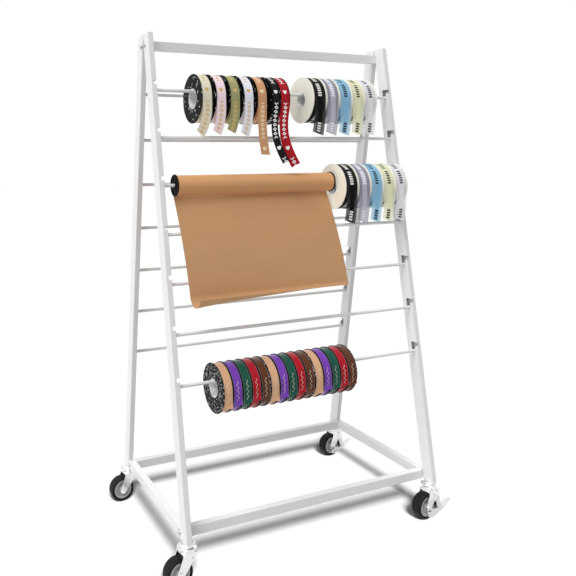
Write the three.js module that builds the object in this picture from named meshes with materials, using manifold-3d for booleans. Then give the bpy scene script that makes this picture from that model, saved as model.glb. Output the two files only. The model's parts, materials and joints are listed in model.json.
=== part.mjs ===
// Ribbon rack on casters, in millimetres, +Z up, front towards -Y.
//
// Two welded end frames lean together like a letter A. Base rails and a top rail are bolted
// between them. Seven rods on each side drop into hook slots in the posts, and carry ribbon
// spools and a roll of kraft paper. Four swivel casters are screwed into the feet of the posts,
// and the two on the right have a brake pedal.
// The origin is on the floor, under the middle of the whole rack's box, casters included.

import * as THREE from 'three';
import { mergeVertices } from 'three/addons/utils/BufferGeometryUtils.js';
import Module from 'manifold-3d';

const wasm = await Module();
wasm.setup();

// Frame
const frameWidth = 800;
const frameDepth = 520;
const postHeight = 1310;
const casterHeight = 105;
const postThickness = 15;
const postDepth = 40;
const tubeWall = 1.5;
const footThickness = 3;
const railWidth = 20;
const railHeight = 25;
const topRailDrop = 18;
const apexGap = 0.3;
const weldGap = 0.2;

// Rods and their hook slots
const rodLevels = 7;
const rodDiameter = 9.5;
const rodChamfer = 1;
const topRodDrop = 158;
const rodPitch = 129;
const slotReach = 9;
const rodEndGap = 0.7;
const hookWidth = 8;
const slotWidth = 15.5;
const slotClearance = 0.75;
const slotCorner = 2.5;
const rodLift = 20;
const seatGap = 0.3;
const rampAngle = 40;

// Casters
const wheelDiameter = 75;
const wheelWidth = 32;
const tyreThickness = 9;
const tyreShoulder = 4;
const tyreSeatGap = 0.3;
const hubRadius = 9.5;
const hubWebWidth = 13;
const hubRimThickness = 6;
const hubRimWidth = 27;
const casterTrail = 27;
const stemDiameter = 10;
const stemRise = 26;
const stemClearance = 0.4;
const headDiameter = 52;
const headHeight = 10;
const headLip = 3;
const headDome = 34;
const raceDiameter = 42;
const raceHeight = 8.5;
const swivelGap = 0.5;
const forkSheet = 2.5;
const forkSideGap = 1;
const forkTopWidth = 40;
const forkTopShift = 1;
const forkEndRadius = 11;
const forkSkirt = 7;
const forkEndFrom = 205;
const forkEndTo = 365;
const rivetDiameter = 17;
const rivetHeight = 2.5;
const axleDiameter = 8;
const axleClearance = 0.3;
const axleHeadDiameter = 15;
const axleHeadHeight = 4;
const leftSwivel = 186;
const rightSwivel = 188;

// Brake pedals of the two right casters
const pedalSheet = 2;
const pedalPinDiameter = 5;
const pedalPinForward = 5;
const pedalPinHeight = 74;
const pedalEyeRadius = 8;
const pedalStemWidth = 13;
const pedalPlateHeight = 36;
const pedalTilt = 19;
const pedalPlateLeft = 47;
const pedalPlateRight = 14;
const pedalTipReach = 42;
const pedalTipRadius = 7;
const pedalPlateWidth = 24;
const pedalOvalLength = 20;
const pedalOvalWidth = 10;
const pedalOvalRib = 2;
const pedalOvalHeight = 1.5;
const pedalShoeWidth = 22;
const pedalShoeHeight = 10;
const pedalShoeGap = 0.5;

// Ribbon spools
const spoolDiameter = 136;
const spoolBore = 52;
const spoolFlange = 1.5;
const spoolFill = 1.2;
const wideRibbon = 28;
const narrowRibbon = 21;
const spoolsStart = -277.5;
const looseSpoolGap = 11;
const wideSpoolGap = 17;
const closeSpoolGap = 2;
const packBore = 42;
const packFlange = 2.5;
const packRibbon = 40;
const packSpools = 5;
const topPackStart = 74;
const lowerPackMargin = 8;
const satinDiameter = 132;
const satinBore = 46;
const satinFlange = 2;
const satinRibbon = 23.4;
const satinStart = -287;
const satinGap = 0.4;
const satinPacks = 3;
const hangGap = 0.3;

// Paper roll and its hanging sheet
const paperMargin = 35;
const paperPackGap = 7.7;
const rollDiameter = 54;
const coreBore = 38;
const coreCapDiameter = 59;
const coreCapThickness = 3;
const corePlugLength = 22;
const corePlugGap = 0.3;
const sheetThickness = 0.8;
const sheetGap = 0.5;
const sheetDrop = 270;
const sheetFlare = 20.5;
const sheetFootFlare = 5.5;
const sheetCut = 4;
const sheetCurlRadius = 34;
const sheetCurlLeft = 150;
const sheetCurlRight = 25;

// Facets
const roundSides = 20;
const packSides = 16;
const rodSides = 12;
const smallSides = 12;
const arcSteps = 4;
const overrun = 5;

// Sizes that follow from the ones above
const fullTurn = 360;
const halfTurn = fullTurn / 2;
const quarterTurn = fullTurn / 4;
const radians = Math.PI / halfTurn;
const halfWidth = frameWidth / 2;
const halfDepth = frameDepth / 2;
const lean = (halfDepth - postDepth - apexGap) / postHeight;
const leanStretch = Math.hypot(1, lean);
const leanAngle = Math.atan(lean) / radians;
const innerFace = halfWidth - postThickness;
const rodRadius = rodDiameter / 2;
const rodSeat = hookWidth + rodRadius + seatGap;
const rodLength = 2 * (innerFace + slotReach - rodEndGap);
const wheelRadius = wheelDiameter / 2;
const headBottom = casterHeight - headHeight;
const raceTop = headBottom - swivelGap;
const crownTop = raceTop - raceHeight;
const crownBottom = crownTop - forkSheet;
const legInside = wheelWidth / 2 + forkSideGap;
const legOutside = legInside + forkSheet;
const stemPlace = { x: halfWidth - postThickness / 2, y: halfDepth - postDepth / 2 };
const packWidth = packSpools * (packRibbon + 2 * packFlange);
const lowerPackStart = innerFace - lowerPackMargin - packWidth;
const paperStart = paperMargin - innerFace;
const paperWidth = lowerPackStart - paperPackGap - coreCapThickness - corePlugGap - paperStart;

// Solid helpers

function cleaned(geometry) {
  const bare = geometry.clone();
  bare.deleteAttribute('normal');
  bare.deleteAttribute('uv');
  const merged = mergeVertices(bare);
  const index = merged.index.array;
  const kept = [];
  for (let i = 0; i < index.length; i += 3) {
    const [a, b, c] = [index[i], index[i + 1], index[i + 2]];
    if (a !== b && b !== c && c !== a) kept.push(a, b, c);
  }
  merged.setIndex(kept);
  return merged;
}

function solidOf(geometry) {
  const merged = cleaned(geometry);
  return new wasm.Manifold(new wasm.Mesh({
    numProp: 3,
    vertProperties: new Float32Array(merged.attributes.position.array),
    triVerts: new Uint32Array(merged.index.array),
  }));
}

function geometryOf(solid) {
  const mesh = solid.getMesh();
  const geometry = new THREE.BufferGeometry();
  geometry.setAttribute('position', new THREE.BufferAttribute(new Float32Array(mesh.vertProperties), 3));
  geometry.setIndex(Array.from(mesh.triVerts));
  return geometry;
}

function joined(geometries) {
  return geometryOf(geometries.map(solidOf).reduce((whole, piece) => whole.add(piece)));
}

function cut(geometry, tools) {
  return geometryOf(tools.map(solidOf).reduce((whole, tool) => whole.subtract(tool), solidOf(geometry)));
}

function mirroredX(geometry) {
  const flipped = cleaned(geometry);
  flipped.scale(-1, 1, 1);
  const index = Array.from(flipped.index.array);
  for (let i = 0; i < index.length; i += 3) {
    const swap = index[i];
    index[i] = index[i + 1];
    index[i + 1] = swap;
  }
  flipped.setIndex(index);
  return flipped;
}

function extruded(shape, depth) {
  return new THREE.ExtrudeGeometry(shape, { depth, bevelEnabled: false, curveSegments: arcSteps });
}

// A side view in (Y, Z), given its thickness along X from a starting x
function sidePlate(shape, start, thickness) {
  const swap = new THREE.Matrix4().makeBasis(
    new THREE.Vector3(0, 1, 0), new THREE.Vector3(0, 0, 1), new THREE.Vector3(1, 0, 0));
  return extruded(shape, thickness).applyMatrix4(swap).translate(start, 0, 0);
}

// A front view in (X, Z), given its thickness along Y from a starting y
function facePlate(shape, start, thickness) {
  return extruded(shape, thickness).rotateX(Math.PI / 2).translate(0, start + thickness, 0);
}

function polygon(points) {
  return new THREE.Shape(points.map(([x, y]) => new THREE.Vector2(x, y)));
}

function box(low, high) {
  const size = high.map((value, axis) => value - low[axis]);
  const geometry = new THREE.BoxGeometry(...size);
  return geometry.translate(...low.map((value, axis) => value + size[axis] / 2));
}

function revolved(profile, sides) {
  return cleaned(new THREE.LatheGeometry(profile.map(([r, h]) => new THREE.Vector2(r, h)), sides));
}

function turnedOnZ(profile, sides = smallSides) {
  return revolved(profile, sides).rotateX(Math.PI / 2);
}

function turnedOnX(profile, sides) {
  return revolved(profile, sides).rotateZ(-Math.PI / 2);
}

// The profile of a plain round bar, to be revolved
function bar(radius, from, to) {
  return [[0, from], [radius, from], [radius, to], [0, to]];
}

function arcPoints(centre, radius, from, to, steps = arcSteps) {
  return Array.from({ length: steps + 1 }, (_, i) => {
    const angle = (from + (to - from) * i / steps) * radians;
    return [centre[0] + radius * Math.cos(angle), centre[1] + radius * Math.sin(angle)];
  });
}

// Posts

// A point of the leaning post: depth behind its front face, height above its foot
function leaning(depth, height) {
  return [depth + lean * height, height];
}

function postOutline(inset, foot, top) {
  return polygon([
    leaning(inset, foot),
    leaning(postDepth - inset, foot),
    leaning(postDepth - inset, top),
    leaning(inset, top),
  ]);
}

function rodHeight(level) {
  return postHeight - topRodDrop - rodPitch * (level - 1);
}

// Hook slot: in through the front wall, back, then down to a seat with a ramp that rolls
// the rod forward under the hook
function slotOutline(level) {
  const height = rodHeight(level);
  const seat = leaning(rodSeat, height);
  const seatRadius = rodRadius + seatGap;
  const back = hookWidth + slotWidth;
  const armHalf = rodRadius + slotClearance;
  const armTop = height + rodLift + armHalf;
  const armBottom = height + rodLift - armHalf;
  const rampStart = rampAngle - quarterTurn;
  const rampFoot = arcPoints(seat, seatRadius, rampStart, rampStart, 1)[0];
  const backLine = leaning(back, height)[0];
  const rampTop = rampFoot[1] + (backLine - rampFoot[0]) * Math.tan(rampAngle * radians);
  return polygon([
    leaning(-overrun, armBottom),
    leaning(hookWidth - slotCorner, armBottom),
    leaning(hookWidth, armBottom - slotCorner),
    leaning(hookWidth, height + rodRadius),
    ...arcPoints(seat, seatRadius, halfTurn, fullTurn + rampStart),
    leaning(back, rampTop),
    leaning(back, armTop - slotCorner),
    leaning(back - slotCorner, armTop),
    leaning(-overrun, armTop),
  ]);
}

// The right front post, with x counted outwards from its inner face
function rightPost() {
  const wallDepth = tubeWall * leanStretch;
  const shell = sidePlate(postOutline(0, 0, postHeight), 0, postThickness);
  const cavity = sidePlate(
    postOutline(wallDepth, footThickness, postHeight - tubeWall),
    tubeWall, postThickness - 2 * tubeWall);
  const stemHole = turnedOnZ(bar(stemDiameter / 2 + stemClearance, -overrun, footThickness + overrun));
  stemHole.translate(postThickness / 2, postDepth / 2, 0);
  const slots = [];
  for (let level = 1; level <= rodLevels; level += 1) {
    slots.push(sidePlate(slotOutline(level), -overrun, overrun + slotReach));
  }
  const post = cut(shell, [cavity, stemHole, ...slots]);
  return post.translate(innerFace, -halfDepth, casterHeight);
}

// Rails

function tube(outerLow, outerHigh, wall, along) {
  const innerLow = outerLow.map((value, axis) => (axis === along ? value - overrun : value + wall));
  const innerHigh = outerHigh.map((value, axis) => (axis === along ? value + overrun : value - wall));
  return cut(box(outerLow, outerHigh), [box(innerLow, innerHigh)]);
}

function rightSideRail() {
  const reach = halfDepth - postDepth - weldGap;
  const rise = lean * railHeight;
  const outline = polygon([[-reach, 0], [reach, 0], [reach - rise, railHeight], [rise - reach, railHeight]]);
  const start = halfWidth - railWidth;
  const shell = sidePlate(outline, start, railWidth);
  const hollow = box(
    [start + tubeWall, -halfDepth, tubeWall],
    [halfWidth - tubeWall, halfDepth, railHeight - tubeWall]);
  return cut(shell, [hollow]).translate(0, 0, casterHeight);
}

function baseRail() {
  const reach = halfWidth - railWidth - weldGap;
  const front = -halfDepth + postDepth;
  return tube(
    [-reach, front, casterHeight],
    [reach, front + railWidth, casterHeight + railHeight], tubeWall, 0);
}

function topRail() {
  const reach = innerFace - weldGap;
  const top = casterHeight + postHeight - topRailDrop;
  return tube([-reach, -railWidth / 2, top - railHeight], [reach, railWidth / 2, top], tubeWall, 0);
}

// Rods

function rackRod() {
  const half = rodLength / 2;
  return turnedOnX([
    [0, -half],
    [rodRadius - rodChamfer, -half],
    [rodRadius, -half + rodChamfer],
    [rodRadius, half - rodChamfer],
    [rodRadius - rodChamfer, half],
    [0, half],
  ], rodSides);
}

// Where the rod of one level lies on the front of the rack
function rodPlace(level) {
  const [depth, height] = leaning(rodSeat, rodHeight(level));
  return { y: depth - halfDepth, z: height + casterHeight };
}

// Casters, with the swivel axis at x = 0, the wheel trailing towards +X and the floor at z = 0

function casterStem() {
  const neck = raceTop - raceHeight - forkSheet - swivelGap;
  const pinRadius = stemDiameter / 2;
  return turnedOnZ([
    [0, neck - rivetHeight],
    [rivetDiameter / 2 - rivetHeight / 2, neck - rivetHeight],
    [rivetDiameter / 2, neck - rivetHeight / 2],
    [rivetDiameter / 2, neck],
    [pinRadius, neck],
    [pinRadius, headBottom],
    [headDiameter / 2 - headLip / 2, headBottom],
    [headDiameter / 2, headBottom + headLip / 2],
    [headDiameter / 2, headBottom + headLip],
    [headDome / 2, casterHeight - headLip / 2],
    [headDome / 2 - headLip / 2, casterHeight],
    [pinRadius, casterHeight],
    [pinRadius, casterHeight + stemRise - rodChamfer],
    [pinRadius - rodChamfer, casterHeight + stemRise],
    [0, casterHeight + stemRise],
  ], roundSides);
}

function forkLeg(start) {
  const top = crownTop;
  const left = forkTopShift - forkTopWidth / 2;
  const right = forkTopShift + forkTopWidth / 2;
  const skirt = top - forkSkirt;
  const end = [casterTrail, wheelRadius];
  const outline = polygon([
    [left, top],
    [left, skirt],
    ...arcPoints(end, forkEndRadius, forkEndFrom, forkEndTo, 2 * arcSteps),
    [right, skirt],
    [right, top],
  ]);
  return facePlate(outline, start, forkSheet);
}

function holeAcross(x, z, radius) {
  const reach = legOutside + overrun;
  return revolved(bar(radius, -reach, reach), smallSides).translate(x, 0, z);
}

function casterFork() {
  const bore = stemDiameter / 2 + stemClearance;
  const left = forkTopShift - forkTopWidth / 2;
  const crown = box([left, -legOutside, crownBottom], [left + forkTopWidth, legOutside, crownTop]);
  const race = turnedOnZ([
    [0, crownBottom],
    [raceDiameter / 2, crownBottom],
    [raceDiameter / 2, raceTop - headLip],
    [raceDiameter / 2 - headLip, raceTop],
    [0, raceTop],
  ], roundSides);
  const body = joined([crown, race, forkLeg(legInside), forkLeg(-legOutside)]);
  return cut(body, [
    turnedOnZ(bar(bore, crownBottom - overrun, raceTop + overrun)),
    holeAcross(casterTrail, wheelRadius, axleDiameter / 2 + axleClearance),
    holeAcross(-pedalPinForward, pedalPinHeight, pedalPinDiameter / 2 + axleClearance),
  ]);
}

// A closed wheel profile from the half of it that lies on one side of the wheel's middle
function mirroredProfile(half) {
  const lower = half.map(([r, h]) => [r, -h]).reverse();
  return [...lower, ...half, lower[0]];
}

function wheelHub() {
  const rim = wheelRadius - tyreThickness;
  const bore = axleDiameter / 2 + axleClearance;
  return revolved(mirroredProfile([
    [rim, hubRimWidth / 2],
    [rim - hubRimThickness, hubRimWidth / 2],
    [rim - hubRimThickness, hubWebWidth / 2],
    [hubRadius, hubWebWidth / 2],
    [hubRadius, wheelWidth / 2],
    [bore, wheelWidth / 2],
  ]), roundSides).translate(casterTrail, 0, wheelRadius);
}

function tyre() {
  const seat = wheelRadius - tyreThickness + tyreSeatGap;
  const half = wheelWidth / 2;
  return revolved(mirroredProfile([
    [wheelRadius, half - tyreShoulder * 2],
    [wheelRadius - tyreShoulder / 3, half - tyreShoulder / 2],
    [wheelRadius - tyreShoulder, half],
    [seat, half - tyreShoulder / 2],
  ]), roundSides).translate(casterTrail, 0, wheelRadius);
}

function axle(headSeat) {
  const shank = axleDiameter / 2;
  const head = axleHeadDiameter / 2;
  const far = -legOutside - weldGap;
  return revolved([
    [0, far - axleHeadHeight],
    [head, far - axleHeadHeight],
    [head, far],
    [shank, far],
    [shank, headSeat],
    [head, headSeat],
    [head, headSeat + axleHeadHeight],
    [0, headSeat + axleHeadHeight],
  ], smallSides).translate(casterTrail, 0, wheelRadius);
}

// Brake pedal: a rocker that turns on a pin above the wheel, with a shoe that faces the tread, and
// a tilted foot plate with an oval rib at its low end and a rounded lifting tip at its high end
function brakePedal() {
  const pinX = -pedalPinForward;
  const inside = legOutside + weldGap;
  const eye = arcPoints([pinX, pedalPinHeight], pedalEyeRadius, halfTurn, 0, 2 * arcSteps);
  const halfStem = pedalStemWidth / 2;
  const stemFoot = pinX - pedalPlateRight / 2;
  const plateUnder = (x) => pedalPlateHeight - x * Math.tan(pedalTilt * radians);
  const hanger = facePlate(polygon([
    ...eye,
    [stemFoot + halfStem, plateUnder(stemFoot + halfStem)],
    [stemFoot - halfStem, plateUnder(stemFoot - halfStem)],
  ].reverse()), inside, pedalSheet);

  const plateShape = polygon([
    ...arcPoints([-pedalTipReach, inside + pedalPlateWidth / 2], pedalTipRadius,
      fullTurn - quarterTurn, quarterTurn, 2 * arcSteps),
    [-pedalPlateRight, inside + pedalPlateWidth],
    ...arcPoints([pedalPlateLeft - pedalPlateWidth / 2, inside + pedalPlateWidth / 2],
      pedalPlateWidth / 2, quarterTurn, -quarterTurn, 2 * arcSteps),
    [-pedalPlateRight, inside],
  ].reverse());
  const tilted = (flat) => flat.rotateY(pedalTilt * radians).translate(0, 0, pedalPlateHeight);
  const plate = tilted(extruded(plateShape, pedalSheet));

  const ovalCentre = [pedalPlateLeft - pedalPlateWidth / 2, inside + pedalPlateWidth / 2];
  const ovalShape = new THREE.Shape();
  ovalShape.absellipse(...ovalCentre, pedalOvalLength / 2, pedalOvalWidth / 2, 0, 2 * Math.PI);
  const ovalHole = new THREE.Path();
  ovalHole.absellipse(...ovalCentre, pedalOvalLength / 2 - pedalOvalRib,
    pedalOvalWidth / 2 - pedalOvalRib, 0, 2 * Math.PI, true);
  ovalShape.holes.push(ovalHole);
  const oval = tilted(extruded(ovalShape, pedalSheet / 2 + pedalOvalHeight).translate(0, 0, pedalSheet / 2));

  const shoeFace = casterTrail - wheelRadius - pedalShoeGap;
  const shoe = box(
    [shoeFace - pedalSheet, -pedalShoeWidth / 2, wheelRadius - pedalShoeHeight / 2],
    [shoeFace, inside + pedalSheet, wheelRadius + pedalShoeHeight / 2]);
  const pinBar = bar(pedalPinDiameter / 2, -legOutside - pedalSheet, inside + 2 * pedalSheet);
  const pin = revolved(pinBar, smallSides).translate(pinX, 0, pedalPinHeight);
  return joined([hanger, plate, oval, shoe, pin]);
}

// Ribbon spools, threaded on a rod and hanging on it by the top of their bore

// One spool or several side by side, from x = 0, each a core with two flanges and its ribbon
function spoolGeometry({ count = 1, outside, bore, flange, ribbon, sides }) {
  const outer = outside / 2;
  const wound = outer - spoolFill;
  const pitch = ribbon + 2 * flange;
  const profile = [[bore / 2, count * pitch], [bore / 2, 0], [outer, 0]];
  for (let i = 0; i < count; i += 1) {
    const start = i * pitch;
    profile.push([outer, start + flange], [wound, start + flange]);
    profile.push([wound, start + pitch - flange], [outer, start + pitch - flange]);
  }
  profile.push([outer, count * pitch], [bore / 2, count * pitch]);
  return turnedOnX(profile, sides);
}

// How far a spool's axis hangs below the rod, so that the flats of its bore clear the rod
function spoolDrop(bore, sides) {
  return bore / 2 * Math.cos(Math.PI / sides) - rodRadius - hangGap;
}

// Paper roll: the wound paper, its tube with two flanged plugs, and the sheet that hangs down

function paperRoll() {
  const outer = rollDiameter / 2;
  const inner = coreBore / 2;
  return turnedOnX([
    [inner, paperWidth], [inner, 0], [outer, 0], [outer, paperWidth], [inner, paperWidth],
  ], roundSides);
}

function coreTube() {
  const bore = rodRadius + seatGap;
  const plug = coreBore / 2 - corePlugGap;
  const cap = coreCapDiameter / 2;
  const start = -coreCapThickness - corePlugGap;
  const end = paperWidth + coreCapThickness + corePlugGap;
  return turnedOnX([
    [bore, end], [bore, start], [cap, start], [cap, -corePlugGap], [plug, -corePlugGap],
    [plug, corePlugLength], [plug, paperWidth + corePlugGap],
    [cap, paperWidth + corePlugGap], [cap, end], [bore, end],
  ], packSides);
}

// The line of the sheet in the side view, for a length of fall and an angle of curl: off the
// back of the roll, under it, down over the front of the next rods, and forward into the curl.
// The paper keeps the set of its roll, so it stands off the slant of the rods by the flares.
function sheetLine(drop, curlAngle) {
  const steep = (leanAngle + sheetFlare) * radians;
  const gentle = (leanAngle + sheetFootFlare) * radians;
  const reach = rollDiameter / 2 + sheetGap + sheetThickness / 2;
  const start = new THREE.Vector2(reach * Math.cos(steep), -reach * Math.sin(steep));
  const leg = (slope) => new THREE.Vector2(-Math.tan(slope), -1).multiplyScalar(drop / 2);
  const knee = start.clone().add(leg(steep));
  const foot = knee.clone().add(leg(gentle));
  const fall = new THREE.QuadraticBezierCurve(start, knee, foot);
  const across = new THREE.Vector2(-Math.cos(gentle), Math.sin(gentle));
  const centre = foot.clone().addScaledVector(across, sheetCurlRadius).toArray();
  const curlFrom = -leanAngle - sheetFootFlare;
  const curl = arcPoints(centre, sheetCurlRadius, curlFrom, curlFrom - curlAngle, 3 * arcSteps);
  const points = [...fall.getPoints(3 * arcSteps).map((point) => point.toArray()), ...curl.slice(1)];
  return points.map((point) => new THREE.Vector2(...point));
}

// Both faces of the sheet's edge: the line moved half the thickness to each side
function sheetEdge(line) {
  const across = line.map((point, i) => {
    const before = line[Math.max(i - 1, 0)];
    const after = line[Math.min(i + 1, line.length - 1)];
    const along = after.clone().sub(before).normalize();
    return new THREE.Vector2(-along.y, along.x).multiplyScalar(sheetThickness / 2);
  });
  return line.flatMap((point, i) => [point.clone().add(across[i]), point.clone().sub(across[i])]);
}

// The sheet, lofted from its left edge to its right one, where it is cut shorter and curls less
function paperSheet() {
  const left = sheetEdge(sheetLine(sheetDrop, sheetCurlLeft));
  const right = sheetEdge(sheetLine(sheetDrop - sheetCut, sheetCurlRight));
  const count = left.length;
  const positions = [
    ...left.flatMap((point) => [0, point.x, point.y]),
    ...right.flatMap((point) => [paperWidth, point.x, point.y]),
  ];
  const index = [];
  const quad = (a, b, c, d) => index.push(a, b, c, a, c, d);
  for (let i = 0; i < count - 2; i += 2) {
    quad(i, i + 2, i + 3, i + 1);
    quad(count + i, count + i + 1, count + i + 3, count + i + 2);
    quad(i, count + i, count + i + 2, i + 2);
    quad(i + 1, i + 3, count + i + 3, count + i + 1);
  }
  quad(0, 1, count + 1, count);
  quad(count - 2, 2 * count - 2, 2 * count - 1, count - 1);
  const geometry = new THREE.BufferGeometry();
  geometry.setAttribute('position', new THREE.BufferAttribute(new Float32Array(positions), 3));
  geometry.setIndex(index);
  return geometry;
}

// Finishes

function finish(color, roughness, metalness = 0) {
  return { color, roughness, metalness };
}

const whitePaint = finish(0xeef0f0, 0.35, 0.1);
const zinc = finish(0xd4d6d8, 0.3, 0.9);
const hubGrey = finish(0xa9abad, 0.5);
const tyreBlack = finish(0x1c1c1d, 0.8);
const kraft = finish(0xc1936a, 0.8);
const capBlack = finish(0x161616, 0.5);
const ribbonFinishes = {
  cream: finish(0xd9cfb4, 0.6),
  pink: finish(0xeec7d6, 0.6),
  olive: finish(0x8b8c58, 0.6),
  lavender: finish(0xd5d3e6, 0.6),
  tan: finish(0xbd8056, 0.6),
  black: finish(0x141414, 0.6),
  red: finish(0xab1f24, 0.6),
  mixedSheer: finish(0xcfd9de, 0.6),
  mixedSatin: finish(0x6a3f78, 0.4),
};

// Assembly

const rack = new THREE.Group();

function addPart(parent, name, geometry, look) {
  const material = new THREE.MeshStandardMaterial(look);
  const mesh = new THREE.Mesh(geometry, material);
  mesh.name = name;
  parent.add(mesh);
  return mesh;
}

// End frames: a half turn carries the front right post to the rear left one
const postRight = rightPost();
const postLeft = mirroredX(postRight);
addPart(rack, 'post_front_right', postRight, whitePaint);
addPart(rack, 'post_front_left', postLeft, whitePaint);
addPart(rack, 'post_rear_left', postRight, whitePaint).rotation.z = Math.PI;
addPart(rack, 'post_rear_right', postLeft, whitePaint).rotation.z = Math.PI;
addPart(rack, 'base_side_rail_right', rightSideRail(), whitePaint);
addPart(rack, 'base_side_rail_left', rightSideRail(), whitePaint).rotation.z = Math.PI;
addPart(rack, 'base_rail_front', baseRail(), whitePaint);
addPart(rack, 'base_rail_rear', baseRail(), whitePaint).rotation.z = Math.PI;
addPart(rack, 'top_rail', topRail(), whitePaint);

for (let level = 1; level <= rodLevels; level += 1) {
  const place = rodPlace(level);
  addPart(rack, `rod_front_${level}`, rackRod(), whitePaint).position.set(0, place.y, place.z);
  addPart(rack, `rod_rear_${level}`, rackRod(), whitePaint).position.set(0, -place.y, place.z);
}

const corners = [
  { corner: 'front_left', x: -1, y: -1, swivel: leftSwivel, braked: false },
  { corner: 'front_right', x: 1, y: -1, swivel: rightSwivel, braked: true },
  { corner: 'rear_left', x: -1, y: 1, swivel: leftSwivel, braked: false },
  { corner: 'rear_right', x: 1, y: 1, swivel: rightSwivel, braked: true },
];
for (const { corner, x, y, swivel, braked } of corners) {
  const caster = new THREE.Group();
  caster.position.set(x * stemPlace.x, y * stemPlace.y, 0);
  caster.rotation.z = swivel * radians;
  const plainSeat = legOutside + weldGap;
  addPart(caster, `caster_stem_${corner}`, casterStem(), zinc);
  addPart(caster, `caster_fork_${corner}`, casterFork(), zinc);
  addPart(caster, `caster_hub_${corner}`, wheelHub(), hubGrey);
  addPart(caster, `caster_tyre_${corner}`, tyre(), tyreBlack);
  addPart(caster, `caster_axle_${corner}`, axle(plainSeat), zinc);
  if (braked) addPart(caster, `brake_pedal_${corner}`, brakePedal(), zinc);
  rack.add(caster);
}

const rowOne = rodPlace(1);
const spoolRow = [
  { color: 'cream', ribbon: wideRibbon, gap: 0 },
  { color: 'pink', ribbon: wideRibbon, gap: looseSpoolGap },
  { color: 'olive', ribbon: wideRibbon, gap: looseSpoolGap },
  { color: 'lavender', ribbon: wideRibbon, gap: looseSpoolGap },
  { color: 'tan', ribbon: wideRibbon, gap: looseSpoolGap },
  { color: 'black', ribbon: narrowRibbon, gap: wideSpoolGap },
  { color: 'red', ribbon: wideRibbon, gap: closeSpoolGap },
];
let spoolX = spoolsStart;
for (const { color, ribbon, gap } of spoolRow) {
  spoolX += gap;
  const geometry = spoolGeometry({
    outside: spoolDiameter, bore: spoolBore, flange: spoolFlange, ribbon, sides: roundSides });
  addPart(rack, `ribbon_spool_${color}`, geometry, ribbonFinishes[color])
    .position.set(spoolX, rowOne.y, rowOne.z - spoolDrop(spoolBore, roundSides));
  spoolX += ribbon + 2 * spoolFlange;
}

const rowThree = rodPlace(3);
const sheerPacks = [
  { name: 'sheer_ribbon_pack_top', x: topPackStart, row: rowOne },
  { name: 'sheer_ribbon_pack_lower', x: lowerPackStart, row: rowThree },
];
for (const { name, x, row } of sheerPacks) {
  const geometry = spoolGeometry({ count: packSpools, outside: spoolDiameter, bore: packBore,
    flange: packFlange, ribbon: packRibbon, sides: packSides });
  addPart(rack, name, geometry, ribbonFinishes.mixedSheer)
    .position.set(x, row.y, row.z - spoolDrop(packBore, packSides));
}

const rowSeven = rodPlace(rodLevels);
const satinPitch = packSpools * (satinRibbon + 2 * satinFlange) + satinGap;
['left', 'middle', 'right'].slice(0, satinPacks).forEach((place, i) => {
  const geometry = spoolGeometry({ count: packSpools, outside: satinDiameter, bore: satinBore,
    flange: satinFlange, ribbon: satinRibbon, sides: packSides });
  addPart(rack, `satin_ribbon_pack_${place}`, geometry, ribbonFinishes.mixedSatin)
    .position.set(satinStart + i * satinPitch, rowSeven.y, rowSeven.z - spoolDrop(satinBore, packSides));
});

addPart(rack, 'paper_roll', paperRoll(), kraft).position.set(paperStart, rowThree.y, rowThree.z);
addPart(rack, 'paper_roll_core', coreTube(), capBlack).position.set(paperStart, rowThree.y, rowThree.z);
addPart(rack, 'paper_sheet', paperSheet(), kraft).position.set(paperStart, rowThree.y, rowThree.z);

// Centre the whole box over the origin
rack.updateMatrixWorld(true);
const middle = new THREE.Box3().setFromObject(rack, true).getCenter(new THREE.Vector3());
rack.position.set(-middle.x, -middle.y, 0);
rack.updateMatrixWorld(true);

export default rack;
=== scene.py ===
# %% [markdown]
# # A rolling ribbon rack, dressed for a catalogue picture
# Two end frames of flat tube lean together and stand on four swivel casters. Rods lie in hook
# slots on both sides and carry ribbon spools and a roll of kraft paper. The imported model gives
# every place and size. This lesson adds what the eye looks for: soft edges on the tubes, wound
# ribbon, loose ends, card discs, paper with a curl, rubber and bright zinc.
# All lengths are in metres, +Z is up and the front of the rack looks towards -Y.

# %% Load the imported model
import json
import math

import bmesh
import bpy
from mathutils import Matrix, Vector

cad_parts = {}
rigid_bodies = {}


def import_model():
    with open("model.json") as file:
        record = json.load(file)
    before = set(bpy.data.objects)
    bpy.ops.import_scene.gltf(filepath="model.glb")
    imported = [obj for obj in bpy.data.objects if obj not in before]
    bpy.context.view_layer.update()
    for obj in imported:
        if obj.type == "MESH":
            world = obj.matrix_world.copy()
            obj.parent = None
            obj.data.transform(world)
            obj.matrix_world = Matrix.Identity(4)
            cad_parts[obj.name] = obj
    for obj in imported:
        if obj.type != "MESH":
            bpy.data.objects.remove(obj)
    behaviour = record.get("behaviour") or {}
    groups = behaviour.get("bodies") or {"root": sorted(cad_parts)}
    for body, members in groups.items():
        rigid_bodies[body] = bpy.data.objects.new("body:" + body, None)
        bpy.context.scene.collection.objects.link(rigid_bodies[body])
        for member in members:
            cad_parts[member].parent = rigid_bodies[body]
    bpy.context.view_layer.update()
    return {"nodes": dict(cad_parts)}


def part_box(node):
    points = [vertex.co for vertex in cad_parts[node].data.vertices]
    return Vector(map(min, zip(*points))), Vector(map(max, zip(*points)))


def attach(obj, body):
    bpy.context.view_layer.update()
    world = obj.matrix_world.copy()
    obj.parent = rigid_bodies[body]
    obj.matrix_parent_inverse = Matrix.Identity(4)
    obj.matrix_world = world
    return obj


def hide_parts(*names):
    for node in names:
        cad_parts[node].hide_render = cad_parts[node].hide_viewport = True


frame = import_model()
nodes = frame["nodes"]
scene = bpy.context.scene

# %% [markdown]
# ## Reading places from the model
# A node's place is in its mesh, so its box says where it lies. The middle of a round node's box
# is its axis, and half of the box's height is its radius.

# %% Measures
MM = 0.001
levels = 7
corners = ("front_left", "front_right", "rear_left", "rear_right")


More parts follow.
